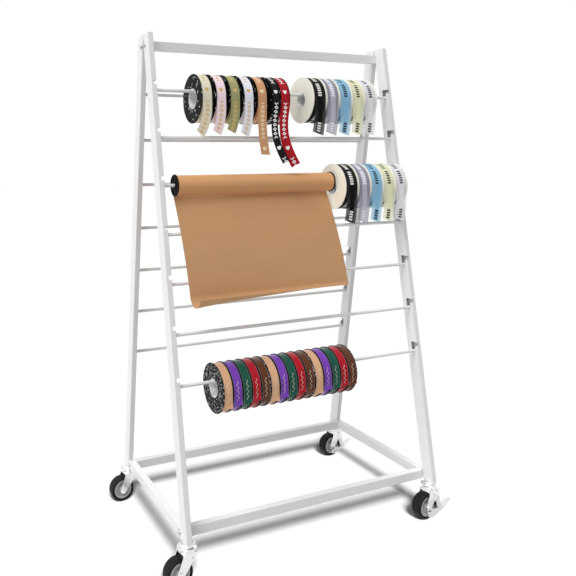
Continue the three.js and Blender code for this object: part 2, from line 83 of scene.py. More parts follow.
def centre_of(node):
    low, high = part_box(node)
    return (low + high) / 2


def radius_of(node):
    low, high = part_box(node)
    return (high.z - low.z) / 2


def placed(name, data):
    """A new object at the origin, whose mesh holds its place."""
    obj = bpy.data.objects.new(name, data)
    scene.collection.objects.link(obj)
    return obj


post_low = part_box("post_front_left")[0]
post_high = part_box("post_rear_right")[1]
rack_centre = Vector(((post_low.x + post_high.x) / 2, (post_low.y + post_high.y) / 2, 0))
print("rack centre", [round(value / MM, 1) for value in rack_centre], "mm")

# %% [markdown]
# ## The camera
# The photograph was taken from the front left, a little above the middle of the rack. The lens
# is given in pixels of the square picture, 576 on a side. The picture was cropped, so the
# lens axis doesn't meet its middle, and the camera's shift says by how much.

# %% Camera
picture_side = 576
focal_pixels = 654.4
axis_pixel = (190.1, 200.8)
sensor_width = 36
camera_stand = Vector((-0.9965, -1.7269, 1.0361))
camera_yaw = math.radians(22.907)
camera_pitch = math.radians(-2.575)
camera_roll = math.radians(-0.95)


def turned_view(yaw, pitch, roll):
    flat = math.cos(pitch)
    ahead = Vector((math.sin(yaw) * flat, math.cos(yaw) * flat, math.sin(pitch)))
    level = Vector((math.cos(yaw), -math.sin(yaw), 0))
    above = level.cross(ahead)
    right = math.cos(roll) * level + math.sin(roll) * above
    up = math.cos(roll) * above - math.sin(roll) * level
    return Matrix((right, up, -ahead)).transposed().to_4x4()


lens = bpy.data.cameras.new("camera")
lens.sensor_width = sensor_width
lens.lens = focal_pixels / picture_side * sensor_width
lens.shift_x = 0.5 - axis_pixel[0] / picture_side
lens.shift_y = axis_pixel[1] / picture_side - 0.5
camera = placed("camera", lens)
camera.matrix_world = Matrix.Translation(rack_centre + camera_stand) @ turned_view(
    camera_yaw, camera_pitch, camera_roll)
scene.camera = camera
print(f"lens {lens.lens:.2f} mm, shift {lens.shift_x:.3f} {lens.shift_y:.3f}")

# %% [markdown]
# ## Writing node trees as sums
# A material or a geometry tree is easier to read as an expression than as boxes and wires. A
# Value wraps one socket, and a sum of Values adds the Math nodes. Every other node comes from
# the node method, which takes its settings and what its sockets are fed with.

# %% Node trees as expressions


class Value:
    """A socket that can be used in a sum."""

    def __init__(self, graph, socket):
        self.graph = graph
        self.socket = socket

    def math(self, operation, first, second):
        return self.graph.node("ShaderNodeMath", {0: first, 1: second}, operation=operation)

    def apply(self, operation, other=0.0):
        return self.math(operation, self, other)

    def __add__(self, other):
        return self.apply("ADD", other)

    def __sub__(self, other):
        return self.apply("SUBTRACT", other)

    def __rsub__(self, other):
        return self.math("SUBTRACT", other, self)

    def __mul__(self, other):
        return self.apply("MULTIPLY", other)

    def __truediv__(self, other):
        return self.apply("DIVIDE", other)

    def __lt__(self, other):
        return self.apply("LESS_THAN", other)

    def __gt__(self, other):
        return self.apply("GREATER_THAN", other)

    def __abs__(self):
        return self.apply("ABSOLUTE")

    __radd__ = __add__
    __rmul__ = __mul__


class Graph:
    """A node tree that is written as expressions."""

    def __init__(self, tree):
        self.tree = tree

    def feed(self, socket, value):
        if isinstance(value, list):
            for item in value:
                self.feed(socket, item)
        elif isinstance(value, Value):
            self.tree.links.new(value.socket, socket)
        else:
            socket.default_value = value

    def node(self, kind, inputs=None, output=0, **settings):
        made = self.tree.nodes.new(kind)
        for name, value in settings.items():
            setattr(made, name, value)
        for name, value in (inputs or {}).items():
            self.feed(made.inputs[name], value)
        return Value(self, made.outputs[output])

    def split(self, vector):
        made = self.tree.nodes.new("ShaderNodeSeparateXYZ")
        self.feed(made.inputs[0], vector)
        return [Value(self, socket) for socket in made.outputs]


# %% [markdown]
# ## A small kit for materials
# Each finish is one Principled shader. What is the same all over the surface is set on the
# shader's own socket, and what changes over it comes from textures on the object's own place
# or, on ribbon, on its UV map: the first number runs across the ribbon from its middle, and the
# second along it, both in metres.

# %% Material kit


def grey(level):
    return (level, level, level)


def toned(colour, factor, lift=0.0):
    """A darker or a paler tone of a colour."""
    return tuple(min(1.0, value * factor + lift) for value in colour)


def wave(value, pitch):
    return (value * (math.tau / pitch)).apply("SINE")


def repeated(value, pitch):
    """How far a value is from the middle of its pitch."""
    return ((value / pitch).apply("FRACT") - 0.5) * pitch


class Paint(Graph):
    """A material with one Principled shader."""

    def __init__(self, name, specular=0.5, constants=None):
        self.material = bpy.data.materials.new(name)
        self.material.use_nodes = True
        super().__init__(self.material.node_tree)
        self.shader = self.tree.nodes["Principled BSDF"]
        self.set("Specular IOR Level", specular)
        for socket, value in (constants or {}).items():
            self.set(socket, value)

    def set(self, socket, value):
        self.feed(self.shader.inputs[socket], value)

    def ribbon_place(self):
        across, along, _ = self.split(self.node("ShaderNodeTexCoord", output="UV"))
        return across, along

    def noise(self, scale, detail=2, stretch=(1, 1, 1), where=None):
        """Noise on the object's own place, unless it is told where."""
        if where is None:
            place = self.node("ShaderNodeTexCoord", output="Object")
            where = self.node("ShaderNodeMapping", {"Vector": place, "Scale": stretch})
        return self.node("ShaderNodeTexNoise", {"Vector": where, "Scale": scale, "Detail": detail})

    def mix(self, share, *tones):
        first, second = (tone if isinstance(tone, Value) else (*tone, 1.0) for tone in tones)
        return self.node("ShaderNodeMix", {0: share, 6: first, 7: second}, 2, data_type="RGBA")

    def ramp(self, value, low, high):
        """0 below low, 1 above high and even in between."""
        return self.node("ShaderNodeMapRange", {"Value": value, "From Min": low, "From Max": high})

    def finished(self, colour, roughness, height=None, depth=0.0, strength=0.5):
        """Sets what varies over the surface: its colour, its gloss and a relief of some depth."""
        self.set("Base Color", colour)
        self.set("Roughness", roughness)
        if height is not None:
            relief = {"Height": height, "Distance": depth, "Strength": strength}
            self.set("Normal", self.node("ShaderNodeBump", relief))
        return self.material


# %% [markdown]
# ## Painted steel and bright zinc
# The tubes and rods are powder coated: a slightly uneven white skin with the fine dimples that
# painters call orange peel. The casters' steel is zinc plated, which is bright, a little
# cloudy, and finely scratched along the sheet.

# %% Steel finishes


def powder_coat():
    paint = Paint("white_powder_coat", constants={"Coat Weight": 0.2, "Coat Roughness": 0.2})
    cloud = paint.noise(7, detail=3)
    peel = paint.noise(620, detail=1)
    white = paint.mix(cloud, (0.735, 0.737, 0.741), (0.79, 0.792, 0.795))
    return paint.finished(white, 0.34 + cloud * 0.12, peel, 0.12 * MM, strength=0.35)


def plated(name, dark, light, roughness):
    paint = Paint(name, constants={"Metallic": 1.0})
    cloud = paint.noise(55, detail=3)
    scratch = paint.noise(1800, detail=1, stretch=(1, 1, 0.06))
    steel = paint.mix(cloud, grey(dark), grey(light))
    gloss = roughness + cloud * 0.12 + scratch * 0.04
    return paint.finished(steel, gloss, scratch, 0.02 * MM, strength=0.4)


coat = powder_coat()
zinc = plated("zinc_plate", dark=0.72, light=0.88, roughness=0.12)
bolt_steel = plated("bolt_steel", dark=0.46, light=0.60, roughness=0.24)

# %% [markdown]
# ## Rubber, moulded plastic, card and board
# These finishes differ in how their grain scatters light: rubber is nearly black and dull with
# fine moulding grain, the hub is smooth grey plastic, the discs of the spools are coated card,
# and the cores are raw board. The pale flecks on the black discs are painted glints.

# %% Moulded and card finishes


def grained(name, dark, light, scale, roughness, depth, specular=0.5):
    """A finish of two close tones with a grain of one scale."""
    paint = Paint(name, specular)
    cloud = paint.noise(scale * 0.12, detail=3)
    grain = paint.noise(scale)
    tone = paint.mix(cloud * 0.6 + grain * 0.4, dark, light)
    return paint.finished(tone, roughness + grain * 0.14, grain, depth)


def card_with_painted_glints(name, scale, first, last):
    """Black card with pale flecks painted on as glints, which stand for reflections on glossy
    discs.
    """
    paint = Paint(name, specular=0.03)
    painted_glint = paint.ramp(paint.noise(scale, detail=3), first, last)
    tone = paint.mix(painted_glint * paint.noise(60), grey(0.006), grey(0.95))
    return paint.finished(tone, 0.38 + painted_glint * 0.2)


rubber = grained("tyre_rubber", grey(0.006), grey(0.014), 900, 0.40, 0.04 * MM, specular=0.10)
hub_plastic = grained("wheel_hub_grey", grey(0.44), grey(0.54), 500, 0.38, 0.02 * MM)
cap_plastic = grained(
    "core_cap_black", grey(0.004), grey(0.009), 420, 0.40, 0.03 * MM, specular=0.02)
black_card = grained("black_card", grey(0.006), grey(0.016), 260, 0.24, 0.02 * MM, specular=0.03)
ivory_card = grained("ivory_card", (0.80, 0.77, 0.66), (0.90, 0.875, 0.77), 350, 0.5, 0.03 * MM)
white_board = grained("white_board", grey(0.72), grey(0.84), 600, 0.6, 0.05 * MM)
# The pale flecks of these two cards are painted glints, standing for reflections on the glossy
# discs.
flecked_card = card_with_painted_glints("flecked_card", 210, 0.585, 0.605)
marked_card = card_with_painted_glints("marked_card", 120, 0.635, 0.65)
print("finishes so far", len(bpy.data.materials))

# %% [markdown]
# ## Mesh tools
# Turned pieces come from a profile of radius and height, whose corners are softened first. The
# profile goes round the local Z axis. Weighted normals then keep its flat faces flat and let
# only the narrow softened corners catch the light.

# %% Mesh tools
LYING = Matrix(((0, 0, 1), (0, -1, 0), (1, 0, 0))).to_4x4()
merge_reach = 0.002 * MM
crease_angle = math.radians(40)
corner_share = 0.45


def lying_at(point):
    """Carries a piece turned about Z to an axis along X: its X then points up, its Y forward."""
    return Matrix.Translation(point) @ LYING


def rounded(outline, radius, steps=3, closed=True):
    """The outline with each corner replaced by a short curve."""
    points = [Vector(point) for point in outline]
    count = len(points)
    softened = []
    for i, here in enumerate(points):
        if not closed and i in (0, count - 1):
            softened.append(here)
            continue
        to_last = points[i - 1] - here
        to_next = points[(i + 1) % count] - here
        start = here + to_last.normalized() * min(radius, to_last.length * corner_share)
        end = here + to_next.normalized() * min(radius, to_next.length * corner_share)
        for k in range(steps + 1):
            share = k / steps
            softened.append(start.lerp(here, share).lerp(here.lerp(end, share), share))
    return softened


def new_mesh(name, vertices, faces=()):
    mesh = bpy.data.meshes.new(name)
    mesh.from_pydata(vertices, [], faces)
    return mesh


def workpiece(*meshes):
    """Meshes in one bmesh, to be worked on."""
    work = bmesh.new()
    for mesh in meshes:
        work.from_mesh(mesh)
    return work


def mesh_from(name, work):
    mesh = bpy.data.meshes.new(name)
    work.to_mesh(mesh)
    work.free()
    return mesh


def turned(name, profile, place, steps=64, closed=True):
    """Turns a profile of (radius, height) points about the local Z axis and sets it in place."""
    count = len(profile)
    vertices, faces = [], []
    for k in range(steps):
        angle = math.tau * k / steps
        for radius, height in profile:
            vertices.append((radius * math.cos(angle), radius * math.sin(angle), height))
        here = k * count
        there = (k + 1) % steps * count
        for i in range(count if closed else count - 1):
            j = (i + 1) % count
            faces.append((here + i, there + i, there + j, here + j))
    work = workpiece(new_mesh(name, vertices, faces))
    bmesh.ops.remove_doubles(work, verts=work.verts, dist=merge_reach)
    bmesh.ops.recalc_face_normals(work, faces=work.faces)
    mesh = mesh_from(name, work)
    mesh.transform(place)
    return mesh


def baked(obj):
    """Works the object's modifiers into its mesh."""
    depsgraph = bpy.context.evaluated_depsgraph_get()
    result = bpy.data.meshes.new_from_object(
        obj.evaluated_get(depsgraph), preserve_all_data_layers=True, depsgraph=depsgraph)
    obj.modifiers.clear()
    obj.data = result
    return obj


def shaded(obj):
    """Smooth shading that leaves flat faces flat."""
    obj.data.shade_smooth()
    obj.data.set_sharp_from_angle(angle=crease_angle)
    weighing = obj.modifiers.new("weighted normals", "WEIGHTED_NORMAL")
    weighing.keep_sharp = True
    return baked(obj)


def piece(name, mesh, finish, body, replaced=(), wall=0.0, back=None):
    """A finished piece of the rack on one of its bodies.

    An open mesh gets a wall, whose inner side can have a finish of its own.
    """
    obj = placed(name, mesh)
    mesh.materials.clear()
    mesh.materials.append(finish)
    if back:
        mesh.materials.append(back)
    if wall:
        thickness = obj.modifiers.new("thickness", "SOLIDIFY")
        thickness.thickness = wall
        thickness.offset = 0
        thickness.use_even_offset = True
        thickness.material_offset = len(mesh.materials) - 1
        baked(obj)
    shaded(obj)
    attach(obj, body)
    if replaced:
        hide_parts(*replaced)
    return obj


# %% [markdown]
# ## The tubes
# A rolled tube has no knife edges. A copy of each post and rail has its triangles merged into
# flat faces, and its long outer corners get a small round. The slots were cut afterwards on the
# real thing, so their edges stay crisp.

# %% Posts and rails
tube_round = 1.6 * MM
long_edge = 20 * MM
square_angle = math.radians(50)
flat_angle = math.radians(0.5)


def softened_copy(node, width, shortest, segments=3):
    """A copy of a node's mesh with its outer corners rounded."""
    work = workpiece(nodes[node].data)
    bmesh.ops.remove_doubles(work, verts=work.verts, dist=merge_reach)
    bmesh.ops.dissolve_limit(
        work, angle_limit=flat_angle, verts=work.verts[:], edges=work.edges[:])
    square = [
        edge for edge in work.edges
        if len(edge.link_faces) == 2 and edge.is_convex
        and edge.calc_face_angle() > square_angle and edge.calc_length() > shortest]
    bmesh.ops.bevel(
        work, geom=square, offset=width, offset_type="OFFSET", segments=segments, profile=0.5,
        affect="EDGES", clamp_overlap=True)
    mesh = mesh_from(node, work)
    for layer in ("custom_normal", "sharp_edge", "sharp_face"):
        if layer in mesh.attributes:
            mesh.attributes.remove(mesh.attributes[layer])
    return mesh


tubes = [f"post_{corner}" for corner in corners] + [
    "base_side_rail_right", "base_side_rail_left", "base_rail_front", "base_rail_rear", "top_rail"]
for tube in tubes:
    copy = softened_copy(tube, tube_round, long_edge)
    piece(f"{tube}_coated", copy, coat, "frame", [tube])
print(len(tubes), "tubes with rounded corners")

# %% [markdown]
# ## Closed rail ends
# The side rails are wider than the posts, so a strip of each open end would show beside the
# foot of its post. Real racks close such an end with a plate, set a little into the tube.

# %% End plates of the side rails
tube_wall = 1.6 * MM
plate_inset = 0.6 * MM
plate_thickness = 3 * MM
plate_round = 0.6 * MM
lower_rod, upper_rod = centre_of(f"rod_front_{levels}"), centre_of("rod_front_1")
lean = (upper_rod.y - lower_rod.y) / (upper_rod.z - lower_rod.z)


def end_plate(rail, end):
    """A plate that leans with the post, in the front (-1) or the rear (1) end of a side rail."""
    low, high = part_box(rail)
    mouth = low.y if end < 0 else high.y
    work = bmesh.new()
    for depth in (plate_inset, plate_inset + plate_thickness):
        for x in (low.x + tube_wall, high.x - tube_wall):
            for z in (low.z + tube_wall, high.z - tube_wall):
                work.verts.new((x, mouth - end * (depth + lean * (z - low.z)), z))
    bmesh.ops.convex_hull(work, input=work.verts)
    bmesh.ops.recalc_face_normals(work, faces=work.faces)
    bmesh.ops.bevel(work, geom=work.edges[:], offset=plate_round, segments=2, affect="EDGES")
    return mesh_from("plate", work)


rails = ("base_side_rail_left", "base_side_rail_right")
plates = [end_plate(rail, end) for rail in rails for end in (-1, 1)]
piece("rail_end_plates", mesh_from("rail_end_plates", workpiece(*plates)), coat, "frame")
print(f"{len(plates)} end plates, posts lean {math.degrees(math.atan(lean)):.1f} degrees")

# %% [markdown]
# ## The rods
# Fourteen plain round bars, turned finely enough to look round up close, with a small round at
# each end. Each one rides on its own body, because each one lifts out of its slots.

# %% Rods
rod_end_round = 1.2 * MM


def rod_mesh(node):
    low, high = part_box(node)
    radius = radius_of(node)
    half = (high.x - low.x) / 2
    outline = [(0, -half), (radius, -half), (radius, half), (0, half)]
    profile = rounded(outline, rod_end_round, closed=False)
    return turned(node, profile, lying_at(centre_of(node)), steps=32, closed=False)


for side in ("front", "rear"):
    for level in range(1, levels + 1):
        rod = f"rod_{side}_{level}"
        piece(f"{rod}_coated", rod_mesh(rod), coat, rod, [rod])
print(2 * levels, "rods")

# %% [markdown]
# ## Copies on points
# Bolts and discs repeat. One tree sets a template on every point of a mesh and turns its Z axis
# to the point's aim. The copies are then made real, because an export drops instances.

# %% A tree that sets out copies


class Growth(Graph):
    """A geometry tree with named inputs. Its result is made real and given its finish."""

    def __init__(self, name, inputs):
        super().__init__(bpy.data.node_groups.new(name, "GeometryNodeTree"))
        add_socket = self.tree.interface.new_socket
        for label, kind in {**inputs, "Finish": "Material"}.items():
            add_socket(name=label, in_out="INPUT", socket_type=f"NodeSocket{kind}")
        add_socket(name="Mesh", in_out="OUTPUT", socket_type="NodeSocketGeometry")
        entry = self.tree.nodes.new("NodeGroupInput")
        self.given = {socket.name: Value(self, socket) for socket in entry.outputs if socket.name}

    def finished(self, geometry):
        real = self.node("GeometryNodeRealizeInstances", {"Geometry": geometry})
        done = self.node(
            "GeometryNodeSetMaterial", {"Geometry": real, "Material": self.given["Finish"]})
        self.feed(self.tree.nodes.new("NodeGroupOutput").inputs[0], done)
        return self.tree


def copies_tree():
    graph = Growth("copies on points", {"Points": "Geometry", "Template": "Object"})
    aim = graph.node("GeometryNodeInputNamedAttribute", {"Name": "aim"}, data_type="FLOAT_VECTOR")
    turn = graph.node("FunctionNodeAlignRotationToVector", {"Vector": aim}, axis="Z")
    template = graph.node("GeometryNodeObjectInfo", {"Object": graph.given["Template"]}, "Geometry")
    return graph.finished(graph.node("GeometryNodeInstanceOnPoints", {
        "Points": graph.given["Points"], "Instance": template, "Rotation": turn}))


def grown(name, tree, mesh, sizes):
    """The plain mesh that a tree makes of a mesh, with its named inputs set first."""
    holder = placed(name, mesh)
    modifier = holder.modifiers.new("growth", "NODES")
    modifier.node_group = tree
    for socket in tree.interface.items_tree:
        if socket.in_out == "INPUT" and socket.name in sizes:
            modifier[socket.identifier] = sizes[socket.name]
    result = baked(holder).data
    bpy.data.objects.remove(holder)
    return result


def set_out(name, template_mesh, finish, spots):
    """One mesh with a copy of the template at each (place, aim)."""
    template = placed("template", template_mesh)
    points = new_mesh(name, [place for place, _ in spots])
    aims = points.attributes.new("aim", "FLOAT_VECTOR", "POINT")
    aims.data.foreach_set("vector", [value for _, aim in spots for value in aim])
    result = grown(name, copies_on_points, points, {"Template": template, "Finish": finish})
    bpy.data.objects.remove(template)
    return result


copies_on_points = copies_tree()

# %% [markdown]
# ## Bolts
# The top rail and the base rails are bolted between the end frames. Each bolt has a low round
# head with a hexagon socket, which is the round recess of the turned head pulled out to six
# sides.

# %% Bolts
bolt_radius = 5.5 * MM
bolt_height = 3 * MM
bolt_socket = 2.2 * MM
bolt_socket_depth = 1.8 * MM
bolt_round = 1.6 * MM
washer_radius = 8 * MM
washer_height = 1.2 * MM


def bolt_head():
    top = washer_height + bolt_height
    outline = [
        (0, 0), (washer_radius, 0), (washer_radius, washer_height), (bolt_radius, washer_height),
        (bolt_radius, top - bolt_round), (bolt_radius - bolt_round, top), (bolt_socket, top),
        (bolt_socket, top - bolt_socket_depth), (0, top - bolt_socket_depth)]
    mesh = turned("bolt", outline, Matrix(), steps=24, closed=False)
    sixth = math.tau / 6
    for vertex in mesh.vertices:
        if vertex.co.xy.length < bolt_socket * 1.01 and vertex.co.z > washer_height:
            angle = math.atan2(vertex.co.y, vertex.co.x) % sixth - sixth / 2
            vertex.co.xy = vertex.co.xy / math.cos(angle)
    return mesh


def bolt_spots():
    """The apex bolt of each post and the bolts of the base rails, on the outer faces."""
    apex_back = 13 * MM
    spots = []
    for corner in corners:
        low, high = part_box(f"post_{corner}")
        out = -1 if "left" in corner else 1
        front = -1 if "front" in corner else 1
        face = low.x if out < 0 else high.x
        apex = centre_of("top_rail")
        rail = centre_of("base_rail_front" if front < 0 else "base_rail_rear")
        spots.append(((face, apex.y + front * apex_back, apex.z), (out, 0, 0)))
        spots.append(((face, rail.y, rail.z), (out, 0, 0)))
    return spots


bolts = set_out("bolts", bolt_head(), bolt_steel, bolt_spots())
piece("frame_bolts", bolts, bolt_steel, "frame")
print(len(bolt_spots()), "bolts")

# %% [markdown]
# ## Casters
# The wheel, its hub, the swivel head and the axle bolt are turned. The fork and the brake pedal
# are pressed sheet, so copies of their nodes get rounded edges. Each turned part is made about
# Z. The stem's Z stands at the swivel, and the wheel's Z lies along the axle, with its X along
# the fork's trail.

# %% Caster frames


def caster_places(corner):
    """Where the turned parts of a caster go: about its swivel and about its axle."""
    swivel = centre_of(f"caster_stem_{corner}")
    wheel = centre_of(f"caster_hub_{corner}")
    trail = Vector((wheel.x - swivel.x, wheel.y - swivel.y, 0)).normalized()
    up = Vector((0, 0, 1))
    across = trail.cross(up)
    upright = Matrix.Translation((swivel.x, swivel.y, 0))
    rolling = Matrix.Translation(wheel) @ Matrix((trail, up, across)).transposed().to_4x4()
    return upright, rolling


trail = centre_of("caster_hub_front_left") - centre_of("caster_stem_front_left")
print(f"caster trail {trail.xy.length / MM:.1f} mm")


# %% Tyre and hub
tyre_width = 32 * MM
tyre_shoulder = 3.4 * MM
tyre_seat = 28.8 * MM
hub_rim = 28.4 * MM
hub_rim_inside = 22.5 * MM
hub_rim_width = 27 * MM
hub_web_width = 11 * MM
hub_nave = 9.5 * MM
hub_bore = 4.3 * MM
tyre_round = 1.6 * MM
hub_round = 0.9 * MM


def mirrored(half):
    """A closed profile from its half above the wheel's middle plane."""
    return [(radius, -height) for radius, height in reversed(half)] + list(half)


def tyre_mesh(node, place):
    outer = radius_of(node)
    half = tyre_width / 2
    profile = mirrored([
        (outer, half * 0.45), (outer - tyre_shoulder * 0.3, half * 0.82),
        (outer - tyre_shoulder, half), (tyre_seat + tyre_shoulder * 0.4, half),
        (tyre_seat, half * 0.88)])
    return turned(node, rounded(profile, tyre_round), place, steps=72)


def hub_mesh(node, place):
    profile = mirrored([
        (hub_rim, hub_rim_width / 2), (hub_rim_inside, hub_rim_width / 2),
        (hub_rim_inside - 1.5 * MM, hub_web_width / 2), (hub_nave + 1.5 * MM, hub_web_width / 2),
        (hub_nave, tyre_width / 2), (hub_bore, tyre_width / 2)])
    return turned(node, rounded(profile, hub_round), place, steps=56)


# %% Swivel head and axle bolt
head_radius = 26 * MM
head_height = 10 * MM
head_dome = 17 * MM
stem_radius = 5 * MM
stem_top = 26 * MM
rivet_radius = 8.5 * MM
rivet_height = 2.5 * MM
neck_drop = 22 * MM
axle_half = 20 * MM
axle_head_radius = 7.5 * MM
axle_head_height = 4 * MM
axle_radius = 4 * MM
axle_chamfer = (0.8 * MM, 1.2 * MM)
head_round = 1.1 * MM


def stem_mesh(node, place):
    """Rivet, neck, domed head and threaded stem, from below."""
    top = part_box(node)[1].z - stem_top
    below = top - neck_drop
    outline = [
        (0, below - rivet_height), (rivet_radius, below - rivet_height), (rivet_radius, below),
        (stem_radius, below), (stem_radius, top - head_height), (head_radius, top - head_height),
        (head_radius, top - head_height * 0.7), (head_dome * 1.12, top - head_height * 0.42),
        (head_dome, top), (stem_radius, top), (stem_radius, top + stem_top), (0, top + stem_top)]
    profile = rounded(outline, head_round, closed=False)
    return turned(node, profile, place, steps=56, closed=False)


def axle_mesh(node, place):
    """A bolt with a hexagon head at one end and a nut at the other."""
    bar = [(0, -axle_half), (axle_radius, -axle_half), (axle_radius, axle_half), (0, axle_half)]
    parts = [turned("shank", bar, place, steps=24, closed=False)]
    for side in (-1, 1):
        near = side * axle_half
        far = side * (axle_half + axle_head_height)
        outline = [
            (0, near), (axle_head_radius, near), (axle_head_radius, far - side * axle_chamfer[0]),
            (axle_head_radius - axle_chamfer[1], far), (0, far)]
        parts.append(turned("head", outline, place, steps=6, closed=False))
    return mesh_from(node, workpiece(*parts))


# %% Build the casters
fork_round = 0.8 * MM
pedal_round = 0.7 * MM
sheet_edge_length = 4 * MM
plating = ("plated", zinc, "zinc_plate")
hub_moulding = ("moulded", hub_plastic, "wheel_hub_grey")
tyre_moulding = ("moulded", rubber, "tyre_rubber")
for corner in corners:
    upright, rolling = caster_places(corner)
    fork_body, wheel_body = f"caster_{corner}", f"wheel_{corner}"
    stem, fork, hub, tyre, axle = (
        f"caster_{part}_{corner}" for part in ("stem", "fork", "hub", "tyre", "axle"))
    parts = [
        (stem, stem_mesh(stem, upright), "frame", plating),
        (fork, softened_copy(fork, fork_round, sheet_edge_length), fork_body, plating),
        (hub, hub_mesh(hub, rolling), wheel_body, hub_moulding),
        (tyre, tyre_mesh(tyre, rolling), wheel_body, tyre_moulding),
        (axle, axle_mesh(axle, rolling), fork_body, plating)]
    if "right" in corner:
        pedal = f"brake_pedal_{corner}"
        pressed = softened_copy(pedal, pedal_round, sheet_edge_length)
        parts.append((pedal, pressed, f"brake_{corner}", plating))
    for node, mesh, body, (made, finish, slot) in parts:
        piece(f"{node}_{made}", mesh, finish, body, [node])
print("casters", len(corners))

# %% [markdown]
# ## Ribbon finishes
# Three kinds of ribbon hang here. The single spools carry ribbed ribbon with a small gold or
# white motif, the wide packs carry sheer ribbon with a denser band along its middle, and the
# low packs carry satin. All three read the ribbon's UV map. The motifs are plain hearts,
# diamonds, bars and waves.

# %% Ribbed ribbon with a motif
rib_pitch = 0.9 * MM
motif_pitch = 160 * MM
first_heart = 93 * MM
heart_size = 5.2 * MM
bare_reach = 30 * MM
mark_pitch = motif_pitch / 13
mark_half_width = 6.4 * MM
mark_half_length = 5.4 * MM
mark_opening = 0.40


def motif(across, along):
    """A heart, then a chain of open diamonds, and so on: 1 on the print and 0 beside it."""
    phase = repeated(along - (first_heart - motif_pitch / 2), motif_pitch)
    x = across / heart_size
    y = -1 * phase / heart_size
    disc = x * x + y * y - 1
    heart = disc * disc * disc - x * x * y * y * y < 0
    diamond = abs(across) / mark_half_width + abs(repeated(phase, mark_pitch)) / mark_half_length
    open_diamond = (diamond < 1) - (diamond < mark_opening)
    return heart.apply("MAXIMUM", open_diamond * (abs(phase) > bare_reach))


def ribbed_ribbon(name, colour, ink, half_width):
    paint = Paint(name, specular=0.10)
    across, along = paint.ribbon_place()
    ribs = wave(along, rib_pitch)
    selvedge = paint.ramp(abs(across), half_width - 1.6 * MM, half_width - 1.2 * MM)
    cloud = paint.noise(70, detail=3)
    shade = toned(colour, 0.82)
    cloth = paint.mix(cloud * 0.5 + ribs * 0.12 + 0.2, colour, shade)
    cloth = paint.mix(selvedge * 0.35, cloth, shade)
    print_mask = motif(across, along)
    paint.set("Metallic", print_mask * 0.35)
    face = paint.mix(print_mask, cloth, ink)
    gloss = 0.52 + ribs * 0.06 - print_mask * 0.2
    return paint.finished(face, gloss, ribs * 0.5 + selvedge, 0.08 * MM, strength=0.6)


# %% Sheer ribbon
sheer_weave = 0.7 * MM
sheer_density = (0.48, 0.84)
bar_pitch = 7.4 * MM
bar_half_length = 2.4 * MM
bar_share = 0.30
bar_run = 21 * bar_pitch
bar_start = 25 * MM
first_bars = 4 * bar_pitch
second_bars = (5 * bar_pitch, 11 * bar_pitch)


def sheer_ribbon(name, look, half_width, loose=False):
    """A denser band along the middle. A loose end is see-through, most at its sides."""
    paint = Paint(name, specular=0.06)
    across, along = paint.ribbon_place()
    middle = 1 - paint.ramp(abs(across), half_width * 0.40, half_width * 0.46)
    weave = wave(across, sheer_weave) * wave(along, sheer_weave)
    cloud = paint.noise(45, detail=3)
    band = look["band"]
    edge = look.get("end_edge", look["edge"]) if loose else look["edge"]
    cloth = paint.mix(middle, edge, band)
    deeper = paint.mix(0.5, cloth, toned(band, 0.88))
    cloth = paint.mix(cloud * 0.7 + weave * 0.1, cloth, deeper)
    bar = abs(repeated(along - bar_start, bar_pitch)) < bar_half_length
    line = abs(across) < half_width * bar_share
    place = ((along - bar_start) / bar_run).apply("FRACT") * bar_run
    second = (place > second_bars[0]) * (place < second_bars[1])
    print_mask = bar * line * (place < first_bars).apply("MAXIMUM", second)
    if loose:
        sides, centre = look.get("density", sheer_density)
        density = sides + weave * 0.06 + middle * (centre - sides)
        paint.set("Alpha", density.apply("MAXIMUM", print_mask))
    face = paint.mix(print_mask, cloth, look["ink"])
    return paint.finished(face, 0.5 + weave * 0.08, weave, 0.06 * MM)


# %% Satin ribbon
satin_wave_pitch = 13 * MM
satin_wave_reach = 2.4 * MM
satin_line = 0.5 * MM
satin_run = 120 * MM
satin_run_start = 78 * MM
satin_run_share = 0.42
satin_ink = (0.82, 0.74, 0.60)


def satin_ribbon(name, colour, half_width):
    """A smooth face of long threads that takes a sharp highlight across the spool."""
    paint = Paint(name, specular=0.14, constants={"Anisotropic": 0.6})
    across, along = paint.ribbon_place()
    drawn_out = paint.node("ShaderNodeCombineXYZ", {"X": across, "Y": along * 0.05})
    threads = paint.noise(2600, where=drawn_out)
    line = abs(across - wave(along, satin_wave_pitch) * satin_wave_reach) < satin_line
    run = ((along - satin_run_start) / satin_run).apply("FRACT") < satin_run_share
    cloth = paint.mix(threads, colour, toned(colour, 1.25, 0.004))
    rim = paint.ramp(abs(across), half_width - 1.2 * MM, half_width - 0.8 * MM)
    cloth = paint.mix(rim * 0.75, cloth, toned(colour, 0.45, 0.36))
    face = paint.mix(line * run, cloth, satin_ink)
    return paint.finished(face, 0.28 + threads * 0.12, threads, 0.04 * MM)


# %% [markdown]
# ## Wound ribbon
# On the real spool the ribbon is one long strip wound on itself. A spiral swept by a flat
# rectangle makes its outer turns, over a plain drum for the hidden ones, and the length along
# the spiral is stored before the sweep, so that the finish can follow the strip.

# %% A tree that winds ribbon
ribbon_thickness = 0.35 * MM
shown_turns = 4.0


def sweep(graph, path, width, height):
    """A rectangle drawn along a path."""
    upright = graph.node("GeometryNodeSetCurveNormal", {"Curve": path}, mode="Z_UP")
    profile = graph.node("GeometryNodeCurvePrimitiveQuadrilateral", {
        "Width": width, "Height": height}, mode="RECTANGLE")
    return graph.node("GeometryNodeCurveToMesh", {
        "Curve": upright, "Profile Curve": profile, "Fill Caps": True})


def stored(graph, geometry, name, value, kind, domain):
    return graph.node("GeometryNodeStoreNamedAttribute", {
        "Geometry": geometry, "Name": name, "Value": value}, data_type=kind, domain=domain)


